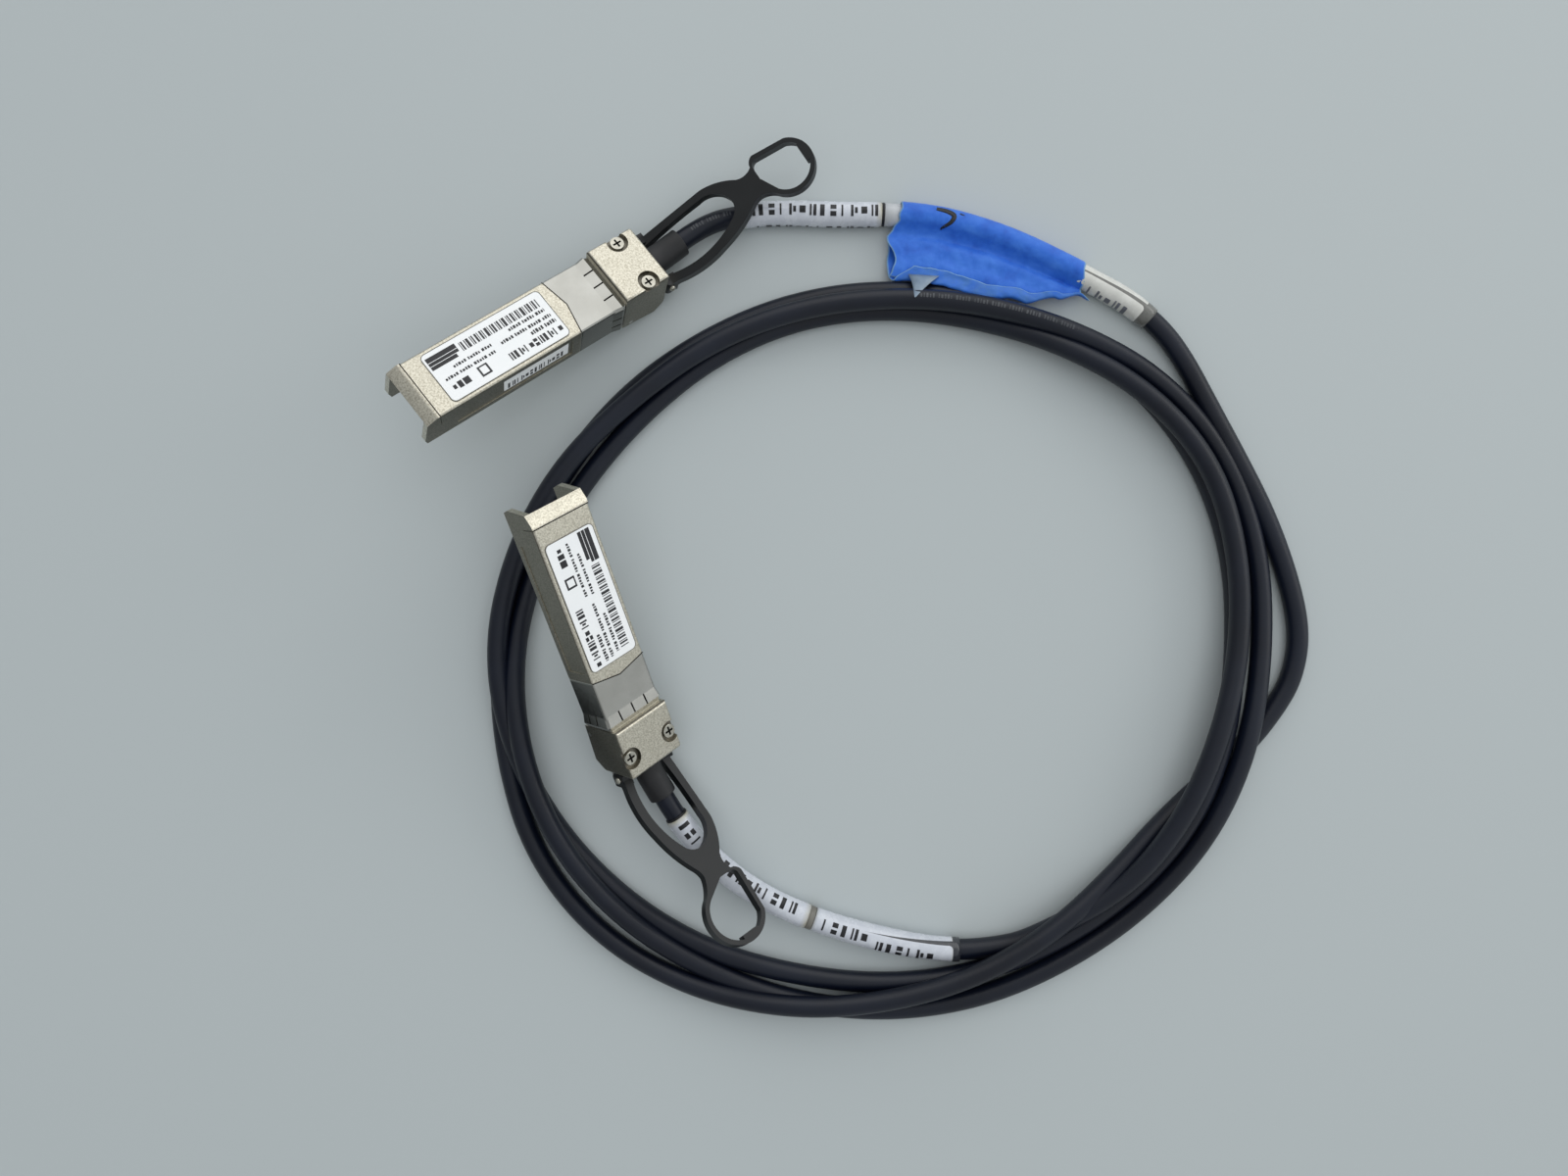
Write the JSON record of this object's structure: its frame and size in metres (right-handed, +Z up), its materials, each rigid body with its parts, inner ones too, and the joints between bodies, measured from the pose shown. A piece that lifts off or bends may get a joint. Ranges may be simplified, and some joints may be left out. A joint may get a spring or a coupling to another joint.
{
  "type": "direct attach copper cable",
  "caption": "Pluggable copper network cable: a latched metal module with a pull tab at each end of a round cable in a loose coil.",
  "frame": {"origin": "on the table, under the middle of the box round both modules without the cable", "axes": "+Z up from the table; +Y along the longer side of that box, +X across it"},
  "size_m": [0.1921, 0.1862, 0.0358],
  "materials": {
    "die_cast_shell": "nickel-plated die-cast zinc, fine grain",
    "spring_sheet": "bright plated spring sheet",
    "circuit_board": "solder mask",
    "chip_resin": "moulded resin",
    "wire_foil": "foil over twin conductors",
    "steel_parts": "plated steel",
    "screw_steel": "plated, cross recess",
    "boot_rubber": "moulded, satin",
    "tab_nylon": "moulded nylon, satin",
    "label_film": "printed film label",
    "cable_jacket": "smooth soft jacket",
    "sleeve_film": "wrapped clear-tailed label",
    "paper_tape": "creped paper tape"
  },
  "bodies": {
    "root": {"boot_a": "boot_rubber", "boot_b": "boot_rubber", "bottom_shell_a": "die_cast_shell", "bottom_shell_b": "die_cast_shell", "circuit_board_a": "circuit_board", "circuit_board_b": "circuit_board", "coil": "cable_jacket", "crimp_ferrule_a": "steel_parts", "crimp_ferrule_b": "steel_parts", "emi_collar_a": "spring_sheet", "emi_collar_b": "spring_sheet", "latch_spring_a": "steel_parts", "latch_spring_b": "steel_parts", "lead_a": "cable_jacket", "lead_b": "cable_jacket", "lever_pin_a": "steel_parts", "lever_pin_b": "steel_parts", "masking_tape": "paper_tape", "memory_chip_a": "chip_resin", "memory_chip_b": "chip_resin", "shell_screws_a": "screw_steel", "shell_screws_b": "screw_steel", "shielded_wires_a": "wire_foil", "shielded_wires_b": "wire_foil", "side_label_a": "label_film", "sleeve_a_inner": "sleeve_film", "sleeve_a_outer": "sleeve_film", "sleeve_b_inner": "sleeve_film", "sleeve_b_outer": "sleeve_film", "top_label_a": "label_film", "top_label_b": "label_film", "top_shell_a": "die_cast_shell", "top_shell_b": "die_cast_shell"},
    "lever_a": {"latch_lever_a": "steel_parts"},
    "lever_b": {"latch_lever_b": "steel_parts"},
    "slide_a": {"pull_slide_a": "steel_parts", "pull_tab_a": "tab_nylon", "tab_rivets_a": "steel_parts"},
    "slide_b": {"pull_slide_b": "steel_parts", "pull_tab_b": "tab_nylon", "tab_rivets_b": "steel_parts"}
  },
  "joints": [
    {"name": "pull_a", "type": "slide", "parent": "root", "child": "slide_a", "axis": [0.7495, 0.5607, -0.3518], "range_m": [0, 0.002], "stiffness_N_per_m": 400},
    {"name": "latch_a", "type": "hinge", "parent": "root", "child": "lever_a", "pos_m": [-0.00106, 0.05113, 0.00438], "axis": [-0.6259, 0.7733, -0.1011], "range_deg": [0, 3.9]},
    {"name": "pull_b", "type": "slide", "parent": "root", "child": "slide_b", "axis": [0.2732, -0.8881, -0.3697], "range_m": [0, 0.002], "stiffness_N_per_m": 400},
    {"name": "latch_b", "type": "hinge", "parent": "root", "child": "lever_b", "pos_m": [0.00013, -0.03831, 0.00751], "axis": [0.6708, 0.4514, -0.5885], "range_deg": [0, 3.9]}
  ],
  "couplings": [
    {"joint": "latch_a", "follows": "pull_a", "rad_per_m": 34.034},
    {"joint": "latch_b", "follows": "pull_b", "rad_per_m": 34.034}
  ]
}
